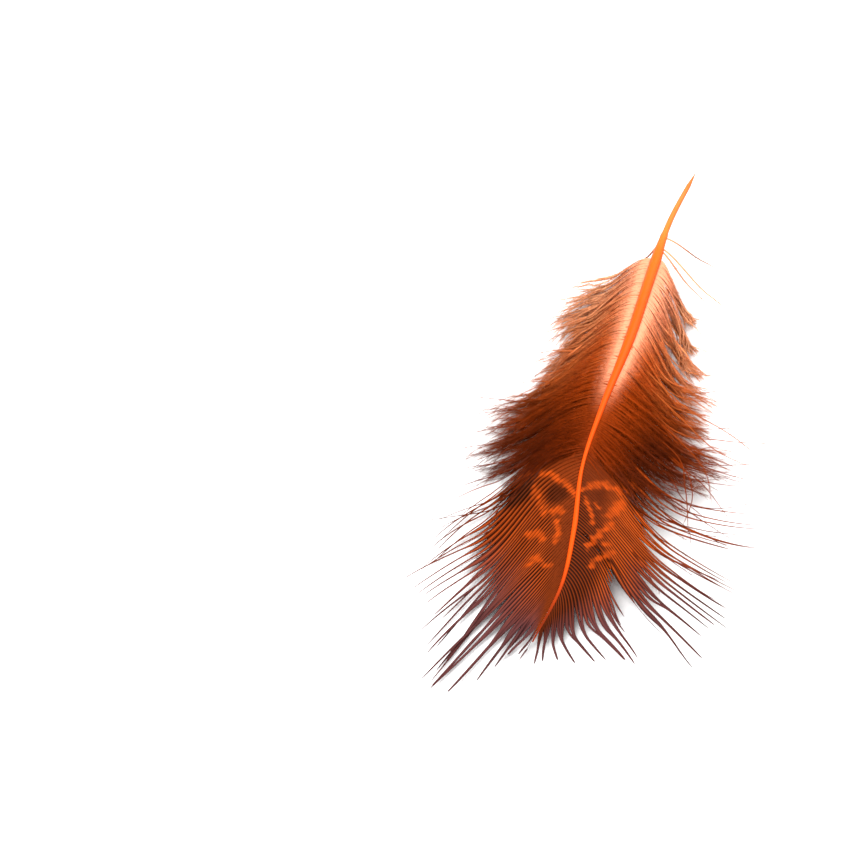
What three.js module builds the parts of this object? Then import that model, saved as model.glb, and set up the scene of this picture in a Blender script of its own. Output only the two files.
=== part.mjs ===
// A dyed pheasant rump feather, lying on the tips of its barbs. Millimetres, +Z up, with the quill
// towards +Y and the end of the vane towards -Y. A feather grows as one piece, so it is one solid:
// the shaft, with 26 locks of barbs fused to each side of it.
import * as THREE from "three";

const { clamp, degToRad, lerp, mapLinear, smoothstep } = THREE.MathUtils;

// Shaft: points of its centre line, from the quill's tip at x 0, y 0, with z above the surface.
const SHAFT_LINE = [
  [0, 0, 2.2],
  [-0.7, -12, 4.2],
  [-0.4, -24, 5.8],
  [-0.1, -36, 6.7],
  [-0.5, -48, 6.7],
  [-0.5, -57, 6.0],
  [0.8, -65.5, 4.7],
  [1.3, -73, 3.3],
  [0, -81, 2.0],
];

// A station is a distance along the shaft from the quill's tip. The shaft is a horny quill that
// swells where the down starts and thins out towards the end of the vane.
const SHAFT_HALF_WIDTHS = [
  { at: 0, size: 0.06 },
  { at: 3, size: 0.3 },
  { at: 14, size: 0.4 },
  { at: 20, size: 0.7 },
  { at: 36, size: 0.65 },
  { at: 44, size: 0.45 },
  { at: 51, size: 0.3 },
  { at: 57, size: 0.22 },
  { at: 65, size: 0.32 },
  { at: 70, size: 0.26 },
  { at: 82, size: 0.08 },
];
const SHAFT_FLATNESS = 0.85;
const QUILL_STATIONS = [2, 5, 10, 15];

// Barbs grow from the shaft between these two stations.
const FIRST_BARB = 20.5;
const LAST_BARB = 79.5;

// Guide barbs, between which every other barb is interpolated. The angle is between the barb's root
// and the shaft, the bend is how far the barb turns outwards along its length, and the dip is how far
// it swings back towards the shaft's direction on its shoulder, all in degrees. Length is the barb's,
// and tip is the height of its tip.
const LEFT_GUIDES = [
  { at: 20, angle: 88, bend: -18, dip: 0, length: 9, tip: 0.8 },
  { at: 23, angle: 84, bend: -45, dip: 0, length: 10, tip: 0.5 },
  { at: 29, angle: 88, bend: -60, dip: 0, length: 11, tip: 0.5 },
  { at: 36, angle: 86, bend: -58, dip: 0, length: 13.5, tip: 0.5 },
  { at: 47, angle: 78, bend: -40, dip: 0, length: 18, tip: 0.5 },
  { at: 51, angle: 68, bend: -42, dip: 0, length: 19, tip: 0.8 },
  { at: 54, angle: 70, bend: -50, dip: 15, length: 22.5, tip: 0.6 },
  { at: 56, angle: 60, bend: -24, dip: 20, length: 25, tip: 0.5 },
  { at: 58, angle: 49, bend: -19, dip: 10, length: 24, tip: 0.6 },
  { at: 60, angle: 44, bend: -13, dip: 2, length: 25, tip: 0.5 },
  { at: 63, angle: 38, bend: -12, dip: -4, length: 25.5, tip: 0.5 },
  { at: 66, angle: 33, bend: -5, dip: -8, length: 25.5, tip: 0.5 },
  { at: 69, angle: 25, bend: 4, dip: -8, length: 23, tip: 0.5 },
  { at: 72, angle: 20, bend: -8, dip: -12, length: 16, tip: 0.6 },
  { at: 75, angle: 20, bend: -6, dip: -8, length: 9, tip: 0.6 },
  { at: 78, angle: 16, bend: -13, dip: 0, length: 5, tip: 0.6 },
  { at: 81, angle: 8, bend: -6, dip: 0, length: 3.5, tip: 0.8 },
];
const RIGHT_GUIDES = [
  { at: 20, angle: 66, bend: -20, dip: 0, length: 7, tip: 0.8 },
  { at: 24, angle: 66, bend: -35, dip: 0, length: 10.5, tip: 0.5 },
  { at: 31, angle: 42, bend: 26, dip: 0, length: 13.5, tip: 0.8 },
  { at: 38, angle: 50, bend: 35, dip: 0, length: 14, tip: 1.6 },
  { at: 44, angle: 66, bend: 22, dip: 0, length: 18, tip: 2.4 },
  { at: 50, angle: 66, bend: 40, dip: 8, length: 21.5, tip: 3 },
  { at: 52.5, angle: 55, bend: 50, dip: 10, length: 23.5, tip: 2.8 },
  { at: 54.6, angle: 50, bend: 34, dip: 8, length: 20.5, tip: 2.8 },
  { at: 55, angle: 55, bend: 14, dip: 8, length: 24.5, tip: 2.8 },
  { at: 58, angle: 52, bend: 18, dip: 10, length: 22, tip: 2.6 },
  { at: 60, angle: 46, bend: 8, dip: 0, length: 23.5, tip: 2.3 },
  { at: 63, angle: 46, bend: 0, dip: 2, length: 22, tip: 1.9 },
  { at: 66, angle: 55, bend: -16, dip: 13, length: 21, tip: 1.4 },
  { at: 69, angle: 60, bend: -28, dip: 21, length: 16, tip: 1 },
  { at: 72, angle: 54, bend: -2, dip: 26, length: 11.5, tip: 0.5 },
  { at: 75, angle: 30, bend: 20, dip: 20, length: 7.5, tip: 0.5 },
  { at: 78, angle: 14, bend: 6, dip: 0, length: 5, tip: 0.6 },
  { at: 81, angle: 8, bend: 0, dip: 0, length: 3.5, tip: 0.8 },
];

// A barb leaves the shaft level, falls towards the surface and lies flat on it past this share. Its
// shoulder ends a little further out.
const FALL_END = 0.65;
const SHOULDER_END = 0.7;
const ARC_STEPS = 24;

// The share of its length that a barb still has: on the right, some in the firm vane are broken off.
const LEFT_KEPT_SHARES = [{ at: 20, size: 1 }];
const RIGHT_KEPT_SHARES = [
  { at: 65, size: 1 },
  { at: 65.5, size: 0.62 },
  { at: 67.8, size: 0.62 },
  { at: 68.6, size: 1 },
];

// Locks: bundles of barbs that hang together beside the shaft and part into fingers further out.
const LOCKS_PER_SIDE = 26;
const ROWS_PER_LOCK = 2;
const JOINED_COLUMNS = 4;
const FREE_COLUMNS = 6;
const COLUMNS = JOINED_COLUMNS + FREE_COLUMNS;
const LOCK_TAPER = 1.6;
const LENGTH_VARIATION = 0.07;
const LENGTH_RHYTHM = 2.3;
const TIP_SHARPNESS = 4;

// The share of a barb's length over which its lock is joined to the next one.
const JOINED_SHARES = [
  { at: 20, size: 0.25 },
  { at: 48, size: 0.4 },
  { at: 58, size: 0.5 },
  { at: 70, size: 0.5 },
  { at: 81, size: 0.15 },
];

// Half the thickness of a lock in its middle: fluffy in the down, thin in the firm vane.
const LOCK_HALF_THICKNESSES = [
  { at: 20, size: 0.5 },
  { at: 30, size: 0.8 },
  { at: 48, size: 0.7 },
  { at: 58, size: 0.25 },
  { at: 81, size: 0.12 },
];
const LOCK_EDGE_THICKNESS = 0.55;

const FEATHER_COLOUR = "#8a3a12";

// The shaft's section: shares of its half width and half height, from the top, by the right, round.
// The two points at each side are as far apart as the barbs are thick at their roots.
const ROOT_HALF_HEIGHT = 0.4;
const SECTION = [
  [0, 1],
  [0.75, 0.72],
  [1, ROOT_HALF_HEIGHT],
  [1, -ROOT_HALF_HEIGHT],
  [0.75, -0.72],
  [0, -1],
  [-0.75, -0.72],
  [-1, -ROOT_HALF_HEIGHT],
  [-1, ROOT_HALF_HEIGHT],
  [-0.75, 0.72],
];

// Each side of the feather: its sign along X, its barbs, and where they join the section.
const RIGHT = { sign: 1, guides: RIGHT_GUIDES, kept: RIGHT_KEPT_SHARES, upper: 2, lower: 3 };
const LEFT = { sign: -1, guides: LEFT_GUIDES, kept: LEFT_KEPT_SHARES, upper: 8, lower: 7 };

const shaftLine = new THREE.CatmullRomCurve3(SHAFT_LINE.map((point) => new THREE.Vector3(...point)));
const shaftLength = shaftLine.getLength();

const points = [];
const faces = [];

function addPoint(point) {
  points.push(point.x, point.y, point.z);
  return points.length / 3 - 1;
}

function addTriangle(a, b, c) {
  if (a !== b && b !== c && c !== a) faces.push(a, b, c);
}

// Four corners in order round a face, turned over where flip is true. Corners may coincide.
function addQuad(corners, flip) {
  const [a, b, c, d] = flip ? corners.toReversed() : corners;
  addTriangle(a, b, c);
  addTriangle(a, c, d);
}

// The value of a field at a station, on straight lines between stops.
function valueAt(stops, station, field = "size") {
  const next = stops.findIndex((stop) => stop.at >= station);
  if (next === 0) return stops[0][field];
  if (next < 0) return stops.at(-1)[field];
  const low = stops[next - 1];
  const high = stops[next];
  return mapLinear(station, low.at, high.at, low[field], high[field]);
}

// The shaft's middle, its level direction towards the vane's end, and the direction to its right.
function shaftAt(station) {
  const share = clamp(station / shaftLength, 0, 1);
  const middle = shaftLine.getPointAt(share);
  const along = shaftLine.getTangentAt(share).setZ(0).normalize();
  const across = new THREE.Vector3(-along.y, along.x, 0);
  return { middle, along, across };
}

// A barb's direction in plan at a share of its length, as an angle to the shaft.
function barbHeading(side, station, share) {
  const guide = (field) => valueAt(side.guides, station, field);
  const shoulder = Math.sin(Math.PI * Math.min(share / SHOULDER_END, 1)) ** 2;
  return degToRad(guide("angle") + guide("bend") * share - guide("dip") * shoulder);
}

// A point of a barb, at a share of its length: short steps from the root, each on the barb's heading.
function barbPoint(side, station, share) {
  const { middle, along, across } = shaftAt(station);
  const step = (valueAt(side.guides, station, "length") * share) / ARC_STEPS;
  let forwards = 0;
  let outwards = valueAt(SHAFT_HALF_WIDTHS, station);
  for (let index = 0; index < ARC_STEPS; index++) {
    const heading = barbHeading(side, station, (share * (index + 0.5)) / ARC_STEPS);
    forwards += step * Math.cos(heading);
    outwards += step * Math.sin(heading);
  }
  const point = middle.clone();
  point.addScaledVector(along, forwards);
  point.addScaledVector(across, side.sign * outwards);
  point.z = lerp(middle.z, valueAt(side.guides, station, "tip"), smoothstep(share, 0, FALL_END));
  return point;
}

function addRing(station) {
  const { middle, across } = shaftAt(station);
  const halfWidth = valueAt(SHAFT_HALF_WIDTHS, station);
  return SECTION.map(([right, up]) => {
    const point = middle.clone().addScaledVector(across, right * halfWidth);
    point.z += up * halfWidth * SHAFT_FLATNESS;
    return addPoint(point);
  });
}

// A ring drawn together in one point closes the shaft's end.
function addEnd(station) {
  return Array(SECTION.length).fill(addPoint(shaftAt(station).middle));
}

// The faces between two rings. Where barbs grow, the two sides stay open for their roots.
function joinRings(ring, nextRing, hasBarbs) {
  SECTION.forEach((_, corner) => {
    if (hasBarbs && (corner === RIGHT.upper || corner === LEFT.lower)) return;
    const next = (corner + 1) % SECTION.length;
    addQuad([ring[corner], nextRing[corner], nextRing[next], ring[next]], false);
  });
}

// The upper and lower point of a lock, half its thickness above and below its barbs.
function addPair(barb, station, share, crown) {
  const root = valueAt(SHAFT_HALF_WIDTHS, station) * SHAFT_FLATNESS * ROOT_HALF_HEIGHT;
  const swell = Math.sqrt(4 * clamp(share, 0, 1) * clamp(1 - share, 0, 1));
  const thickness = lerp(root, valueAt(LOCK_HALF_THICKNESSES, station), swell);
  const rise = new THREE.Vector3(0, 0, thickness * (1 - share ** TIP_SHARPNESS) * crown);
  const upper = addPoint(barb.clone().add(rise));
  const lower = addPoint(barb.clone().sub(rise));
  return { upper, lower };
}

function joinedShare(station, column) {
  return (valueAt(JOINED_SHARES, station) * column) / JOINED_COLUMNS;
}

// The joined part of one row: pairs of points from the shaft's side out to where locks part.
function addRoots(side, ring, station, crown) {
  const roots = [{ upper: ring[side.upper], lower: ring[side.lower] }];
  for (let column = 1; column <= JOINED_COLUMNS; column++) {
    const share = joinedShare(station, column);
    roots.push(addPair(barbPoint(side, station, share), station, share, crown));
  }
  return roots;
}

// The free part of a lock's rows: they draw together to one tip on the lock's middle barb.
function addFinger(side, stations, stretch) {
  const middle = stations[ROWS_PER_LOCK / 2];
  const fingers = stations.map(() => []);
  for (let column = 1; column < FREE_COLUMNS; column++) {
    const free = column / FREE_COLUMNS;
    const spread = 1 - free ** LOCK_TAPER;
    stations.forEach((station, row) => {
      const share = lerp(valueAt(JOINED_SHARES, station), stretch, free);
      const barb = barbPoint(side, middle, share).lerp(barbPoint(side, station, share), spread);
      const crown = station === middle ? 1 : LOCK_EDGE_THICKNESS;
      fingers[row].push(addPair(barb, station, share / stretch, crown));
    });
  }
  const tip = addPoint(barbPoint(side, middle, stretch));
  fingers.forEach((finger) => finger.push({ upper: tip, lower: tip }));
  return fingers;
}

// The upper and lower faces of a lock, and the walls along its two free edges.
function joinLock(side, rows, firstWall, lastWall) {
  const flip = side.sign < 0;
  const last = rows.length - 1;
  for (let column = 0; column < COLUMNS; column++) {
    const next = column + 1;
    for (let row = 0; row < last; row++) {
      const corners = [
        rows[row][column],
        rows[row + 1][column],
        rows[row + 1][next],
        rows[row][next],
      ];
      addQuad(corners.map((pair) => pair.upper), flip);
      addQuad(corners.map((pair) => pair.lower), !flip);
    }
    const wall = (row) => [row[column].upper, row[next].upper, row[next].lower, row[column].lower];
    if (column >= firstWall) addQuad(wall(rows[0]), flip);
    if (column >= lastWall) addQuad(wall(rows[last]), !flip);
  }
}

// All locks on one side. Neighbours share the joined part of the row between them.
function addLocks(side, rings, stations) {
  const roots = rings.map((ring, row) => {
    const crown = row % ROWS_PER_LOCK === 0 ? LOCK_EDGE_THICKNESS : 1;
    return addRoots(side, ring, stations[row], crown);
  });
  for (let lock = 0; lock < LOCKS_PER_SIDE; lock++) {
    const first = lock * ROWS_PER_LOCK;
    const end = first + ROWS_PER_LOCK + 1;
    const variation = LENGTH_VARIATION * Math.sin(LENGTH_RHYTHM * lock + side.sign);
    const kept = valueAt(side.kept, stations[first + ROWS_PER_LOCK / 2]);
    const fingers = addFinger(side, stations.slice(first, end), kept * (1 + variation));
    const rows = roots.slice(first, end).map((root, row) => root.concat(fingers[row]));
    const firstWall = lock === 0 ? 0 : JOINED_COLUMNS;
    const lastWall = lock === LOCKS_PER_SIDE - 1 ? 0 : JOINED_COLUMNS;
    joinLock(side, rows, firstWall, lastWall);
  }
}

function addFeather() {
  const rowCount = LOCKS_PER_SIDE * ROWS_PER_LOCK;
  const rowStations = Array.from({ length: rowCount + 1 }, (_, row) =>
    lerp(FIRST_BARB, LAST_BARB, row / rowCount),
  );
  const quillRings = [addEnd(0), ...QUILL_STATIONS.map(addRing)];
  const barbRings = rowStations.map(addRing);
  const rings = [...quillRings, ...barbRings, addEnd(shaftLength)];
  for (let index = 0; index < rings.length - 1; index++) {
    const hasBarbs = index >= quillRings.length && index < rings.length - 2;
    joinRings(rings[index], rings[index + 1], hasBarbs);
  }
  addLocks(RIGHT, barbRings, rowStations);
  addLocks(LEFT, barbRings, rowStations);
}

// The origin is on the surface that the feather lies on, under the middle of its outline.
function settle(geometry) {
  geometry.computeBoundingBox();
  const { min, max } = geometry.boundingBox;
  geometry.translate(-(min.x + max.x) / 2, -(min.y + max.y) / 2, -min.z);
}

function makeFeather() {
  addFeather();
  const geometry = new THREE.BufferGeometry();
  geometry.setAttribute("position", new THREE.Float32BufferAttribute(points, 3));
  geometry.setIndex(faces);
  settle(geometry);
  geometry.computeVertexNormals();
  const material = new THREE.MeshStandardMaterial({ color: FEATHER_COLOUR, roughness: 0.75, metalness: 0 });
  const feather = new THREE.Mesh(geometry, material);
  feather.name = "feather";
  return feather;
}

const part = new THREE.Group();
part.add(makeFeather());

export default part;
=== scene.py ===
import math
from dataclasses import dataclass

import bpy
import numpy as np
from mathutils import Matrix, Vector


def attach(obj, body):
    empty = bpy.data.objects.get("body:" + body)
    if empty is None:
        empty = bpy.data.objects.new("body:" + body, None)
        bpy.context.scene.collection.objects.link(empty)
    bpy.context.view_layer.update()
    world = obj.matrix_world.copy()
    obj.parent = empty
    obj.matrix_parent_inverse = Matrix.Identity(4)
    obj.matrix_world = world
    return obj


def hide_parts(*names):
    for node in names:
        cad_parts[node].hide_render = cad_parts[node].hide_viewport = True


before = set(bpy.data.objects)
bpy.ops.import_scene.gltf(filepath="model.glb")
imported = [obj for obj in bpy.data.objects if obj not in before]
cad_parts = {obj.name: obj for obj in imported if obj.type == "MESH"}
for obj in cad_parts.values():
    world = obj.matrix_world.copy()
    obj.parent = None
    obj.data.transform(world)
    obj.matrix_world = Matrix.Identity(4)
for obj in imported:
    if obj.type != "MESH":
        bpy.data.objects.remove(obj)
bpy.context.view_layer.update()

# A dyed pheasant rump feather, barb by barb. Metres, +Z up, quill towards +Y. Stations are distances
# along the shaft from the quill's tip, and a share is a part of a barb's length from its root.
MM = 0.001
SEED = 20


def sizes_at(*stops):
    """Sizes at stations, both given in millimetres."""
    return MM * np.array(stops)


def shares_at(*stops):
    """Shares at stations that are given in millimetres."""
    return np.array(stops) * (MM, 1)


@dataclass
class Barbules:
    """A kind of barbules: how many grow on a millimetre of barb, their radius, how far they lean away
    from the barb in degrees, how far they turn out of the vane in radians, and whether they bend."""

    per_mm: int
    radius: float
    lean: float
    lift: float
    bent: bool


# Shaft: points of its centre line from the quill's tip, and its half width at stations.
SHAFT_LINE = MM * np.array([
    (0, 0, 2.2),
    (-0.7, -12, 4.2),
    (-0.4, -24, 5.8),
    (-0.1, -36, 6.7),
    (-0.5, -48, 6.7),
    (-0.5, -57, 6.0),
    (0.8, -65.5, 4.7),
    (1.3, -73, 3.3),
    (0, -81, 2.0),
])
SHAFT_HALF_WIDTHS = sizes_at(
    (0, 0.06), (3, 0.3), (14, 0.4), (20, 0.7), (36, 0.65), (44, 0.45), (51, 0.3), (57, 0.22), (65, 0.32),
    (70, 0.26), (82, 0.08),
)
SHAFT_FLATNESS = 0.85
COLLAR_STATION = 15.3 * MM
COLLAR_LENGTH = 0.7 * MM
COLLAR_RISE = 0.05 * MM
SHAFT_CORNERS = 20
# Rings of the shaft: first and last station and count, closer together at the quill's point.
SHAFT_RINGS = [(0, 3 * MM, 10), (3.4 * MM, 81.6 * MM, 200)]

# Guide barbs: station, angle to the shaft, outward bend along the barb, dip towards the shaft's
# direction on its shoulder, length and height of the tip. Angles are in degrees.
LEFT_GUIDES = np.array([
    (20, 88, -18, 0, 9, 0.8),
    (23, 84, -45, 0, 10, 0.5),
    (29, 88, -60, 0, 11, 0.5),
    (36, 86, -58, 0, 13.5, 0.5),
    (47, 78, -40, 0, 18, 0.5),
    (51, 68, -42, 0, 19, 0.8),
    (54, 70, -50, 15, 22.5, 0.6),
    (56, 60, -24, 20, 25, 0.5),
    (58, 49, -19, 10, 24, 0.6),
    (60, 44, -13, 2, 25, 0.5),
    (63, 38, -12, -4, 25.5, 0.5),
    (66, 33, -5, -8, 25.5, 0.5),
    (69, 25, 4, -8, 23, 0.5),
    (72, 20, -8, -12, 16, 0.6),
    (75, 20, -6, -8, 9, 0.6),
    (78, 16, -13, 0, 5, 0.6),
    (81, 8, -6, 0, 3.5, 0.8),
])
RIGHT_GUIDES = np.array([
    (20, 66, -20, 0, 7, 0.8),
    (24, 66, -35, 0, 10.5, 0.5),
    (31, 42, 26, 0, 13.5, 0.8),
    (38, 50, 35, 0, 14, 1.6),
    (44, 66, 22, 0, 18, 2.4),
    (50, 66, 40, 8, 21.5, 3),
    (52.5, 55, 50, 10, 23.5, 2.8),
    (54.6, 50, 34, 8, 20.5, 2.8),
    (55, 55, 14, 8, 24.5, 2.8),
    (58, 52, 18, 10, 22, 2.6),
    (60, 46, 8, 0, 23.5, 2.3),
    (63, 46, 0, 2, 22, 1.9),
    (66, 55, -16, 13, 21, 1.4),
    (69, 60, -28, 21, 16, 1),
    (72, 54, -2, 26, 11.5, 0.5),
    (75, 30, 20, 20, 7.5, 0.5),
    (78, 14, 6, 0, 5, 0.6),
    (81, 8, 0, 0, 3.5, 0.8),
])
GUIDE_UNITS = (MM, 1, 1, 1, MM, MM)
GUIDES = {-1: LEFT_GUIDES * GUIDE_UNITS, 1: RIGHT_GUIDES * GUIDE_UNITS}
# A barb leaves the shaft level, falls, and lies flat past this share. Its shoulder ends further out.
FALL_END = 0.65
SHOULDER_END = 0.7
# A barb's root lies inside the shaft, at this share of its half width.
ROOT_SHARE = 0.8
# The share of its length that a barb still has: on the right, some in the firm vane are broken off.
KEPT_SHARES = {
    -1: shares_at((20, 1)),
    1: shares_at((65.4, 1), (65.6, 0.32), (67.2, 0.38), (67.5, 0.6), (68.5, 0.7), (69.2, 1)),
}
LOWEST_BARB = 0.1 * MM
# The share of a barb's free part over which it comes together with its group.
GATHER_SPAN = 0.45
# Groups stray up and down by this share of what they stray sideways. The limit is in usual strays.
STRAY_RISE = 0.5
STRAY_LIMIT = 2

# A barb's section, from its ridge by the right all round: places across in the colour map, and how
# much of the ridge's colour shows.
SECTION_PLACES = np.array([0.5, 0.65, 1, 0.5, 0, 0.35])
SECTION_RIDGES = np.array([1, 0.2, 0, 0.5, 0, 0.2])
# The ridge's half width as a share of the barb's, and heights as shares of the ridge's.
CORE_SHARE = 0.4
CORE_RISE = 0.2
KEEL_DEPTH = 0.6

# All barbules: how they crowd towards the barb's root, how much their lean, size and tone vary, and
# the share of their lean that is left in their outer half.
FEWEST_BARBULES = 2
BARBULE_CROWDING = 0.65
LEAN_SPREAD = 0.5
BARBULE_SIZES = (0.6, 1.15)
BARBULE_TONE_SPREAD = 0.12
CURL = 0.35

# Down: two layers of soft barbs in tufts, each with its last station and how far its barbs bow up.
DOWN_LAYERS = {"down": (55 * MM, 0.5 * MM), "under_down": (54 * MM, -0.5 * MM)}
FIRST_DOWN = 20.5 * MM
DOWN_BARBS = 130
DOWN_SAMPLES = 22
DOWN_BARBULES = Barbules(per_mm=20, radius=0.016 * MM, lean=26, lift=0.7, bent=False)
DOWN_BARBULE_LENGTH = 2.4 * MM
# Barbules get longer over the first shares of a barb, and lose a share of that over the second ones.
BARBULE_GROWTH = (0.02, 0.3)
BARBULE_DECLINE = (0.45, 1)
BARBULE_LOSS = 0.75
SHORTEST_BARBULE = 0.3
# At the quill, barbules have this share of their length. They are full past the last station.
THIN_DOWN = 0.6
FULL_DOWN_STATIONS = (32 * MM, 44 * MM)
# The share of a barb's pale root that has no barbules.
BARE_SHARE = 0.6
DOWN_RAMUS_HALF_WIDTHS = sizes_at((0, 0.18), (4, 0.17), (9, 0.05), (30, 0.03))
DOWN_RAMUS_RISE = 0.04 * MM
# How a downy barb thins to its tip: a power of its share, and what is left there.
DOWN_POINT = (6, 0.001)
DOWN_LOFT = 0.5 * MM
# Side waves of a downy barb: their size and number, and how far the barb drifts aside.
WAVE_SIZE = 0.4 * MM
WAVES = 1.3
DRIFT = 0.06
# The barbs' bow ends between these stations, and a lower power makes it fuller.
BOW_END = (49 * MM, 54 * MM)
BOW_POWER = 0.8
# The share of the guides' length that most downy barbs reach, at stations.
DOWN_REACHES = {
    -1: shares_at((20, 1.6), (25, 1.35), (36, 1.22), (44, 1.15), (49, 1), (53, 0.75), (55, 0.45)),
    1: shares_at((20, 1.05), (36, 1.1), (42, 1.05), (47, 0.98), (53, 0.72), (55, 0.4)),
}
# The least and greatest share of that reach, of a whole tuft and of a single barb.
TUFT_REACHES = (0.78, 1)
DOWN_BARB_REACHES = (0.7, 1.05)
# The least and greatest width of a tuft along the shaft, on each side.
TUFT_WIDTHS = {-1: (1.2 * MM, 2.6 * MM), 1: (2.2 * MM, 4 * MM)}
# The least and greatest share of the way to its tuft's middle that a downy barb leans.
TUFT_PULLS = {-1: (0.6, 0.97), 1: (0.78, 0.98)}
# How firmly the tufts hold together, at stations.
TUFT_HOLDS = shares_at((20, 1), (37, 1), (45, 0.55), (55, 0.35))
# The least share of a downy barb's length from which it leans to its tuft, at stations.
TUFT_STARTS = {
    -1: shares_at((20, 0.3), (55, 0.4)),
    1: shares_at((20, 0.08), (33, 0.15), (40, 0.4), (55, 0.5)),
}
TUFT_START_RANGE = 0.2
TUFT_STRAY = 0.05
MOST_TUFTS = 40
# Each side's usual tone, from 0, dark, to 1, light.
DOWN_TONES = {-1: 0.5, 1: 0.75}
DOWN_TONE_SPREAD = 0.25
DOWN_TONE_REACH = 0.4
# Length of the bare pale root of a downy barb, at stations.
PALE_LENGTHS = {
    -1: sizes_at((20, 1.8), (30, 1.4), (38, 1.0), (46, 0.6), (52, 0.2)),
    1: sizes_at((20, 3.0), (28, 2.6), (36, 1.4), (46, 0.6), (52, 0.2)),
}
# The pale colour fades between these shares of that length, and between these stations.
PALE_FADE = (0.2, 1.9)
PALE_END = (40 * MM, 50 * MM)
# The dark middle of the lower downy barbs: its stations, its shares and its strength on each side.
DEEP_STATIONS = (42 * MM, 49 * MM)
DEEP_START = (0.25, 0.45)
DEEP_END = (0.6, 0.85)
DEEP_LEVELS = {-1: 0.6, 1: 1}
# The brightness of a downy barb's ridge, what is added beside the shaft, and the least share of that.
DOWN_RIDGE = 0.1
DOWN_RIDGE_GAIN = 0.5
DOWN_RIDGE_DISTANCES = (2 * MM, 6 * MM)
LOWEST_RIDGES = {-1: 0.25, 1: 0.5}
DOWN_EVEN = 0.5
DOWN_TIP = (0.62, 0.98)

# Firm vane: barbs hooked together in a sheet beside the shaft, in fingers further out.
VANE_STATIONS = (51.5 * MM, 79.5 * MM)
VANE_BARBS = {-1: 58, 1: 66}
VANE_SAMPLES = 90
VANE_BARBULES = Barbules(per_mm=9, radius=0.022 * MM, lean=26, lift=0.15, bent=False)
VANE_BARBULE_LENGTH = 0.3 * MM
VANE_BARBULE_START = 0.02
VANE_BARBULE_TAPER = 0.5
# How much the barbs' lengths vary, and the limits of that.
VANE_REACH_SPREAD = 0.04
VANE_REACH_LIMITS = (-2, 1.5)
VANE_POINT = (3, 0.0004)
LEAST_HALF_WIDTH = 0.03 * MM
RAMUS_HALF_WIDTH = 0.08 * MM
# The ridge's height, its share beside the down, and what it loses at the tip and in the even part.
RAMUS_RISE = 0.05 * MM
SOFT_RISE = 0.3
RAISED_STATIONS = (53 * MM, 59 * MM)
TIP_RISE_LOSS = 0.6
EVEN_RISE_LOSS = 0.8
# Each plate lies over the next like a roof tile, and its edge rises by this share of its half width.
PLATE_TILT = 0.12
PLATE_OVERLAP = 1.3
# The share of a barb's length that is hooked to the next barb, at stations.
ZIPPED_SHARES = {
    -1: shares_at((51, 0.4), (55, 0.52), (60, 0.52), (64, 0.47), (68, 0.43), (72, 0.37), (80, 0.15)),
    1: shares_at((51, 0.3), (55, 0.4), (60, 0.48), (66, 0.52), (70, 0.45), (75, 0.35), (80, 0.15)),
}
ZIPPED_SPREAD = 0.06
# A plate narrows to a free barb between these shares before and past the last hook.
ZIP_EDGE = (-0.08, 0.12)
# The width along the shaft of the bundles of barbs that make a finger, at stations.
BUNDLE_WIDTHS = {
    -1: sizes_at((52, 0.4), (59, 0.45), (61, 0.8), (64, 1.2), (72, 1.6)),
    1: sizes_at((52, 0.5), (60, 0.8), (67, 1.1), (72, 1.4)),
}
BUNDLE_SPREAD = (0.7, 1.3)
FREE_HALF_WIDTHS = {
    -1: sizes_at((51, 0.1), (56, 0.14), (62, 0.19), (70, 0.21), (80, 0.14)),
    1: sizes_at((51, 0.1), (58, 0.12), (62, 0.16), (70, 0.17), (80, 0.13)),
}
# The least and greatest share of the way to its finger's middle that a barb leans.
FINGER_PULLS = {-1: (0.85, 0.98), 1: (0.8, 0.97)}
FINGER_STRAY = 0.022
# A broken barb is hooked to its neighbours up to this share of what is left of it.
LAST_ZIPPED_SHARE = 0.95
# How bright the ridges are beside the shaft and further out, and between which distances that turns.
RIDGE_LEVELS = {-1: (0.6, 0.78), 1: (0.34, 1)}
RIDGE_DISTANCES = (3 * MM, 6.5 * MM)
DARK_RIDGE_LOSS = 0.6
# Ridges show past these stations, or past these distances from the shaft.
FIRM_STATIONS = (53 * MM, 58 * MM)
FIRM_DISTANCES = (3 * MM, 6 * MM)
VANE_TONE = 0.5
VANE_TONE_SPREAD = 0.2
VANE_TONE_REACH = 0.5
# The share of a barb's length from which it turns to the dull colour of the tips, at stations.
TIP_STARTS = {
    -1: shares_at((52, 0.6), (58, 0.42), (62, 0.3), (66, 0.22), (75, 0.15)),
    1: shares_at((52, 0.65), (58, 0.5), (62, 0.36), (66, 0.28), (75, 0.18)),
}
TIP_FADE = 0.35
# Where the vane is so closely hooked that no ridges show: it ends between these stations and distances.
EVEN_LEVEL = 0.4
EVEN_STATIONS = {-1: (70 * MM, 75 * MM), 1: (59 * MM, 63 * MM)}
EVEN_DISTANCES = {-1: (2.5 * MM, 5 * MM), 1: (4 * MM, 6.5 * MM)}

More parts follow.
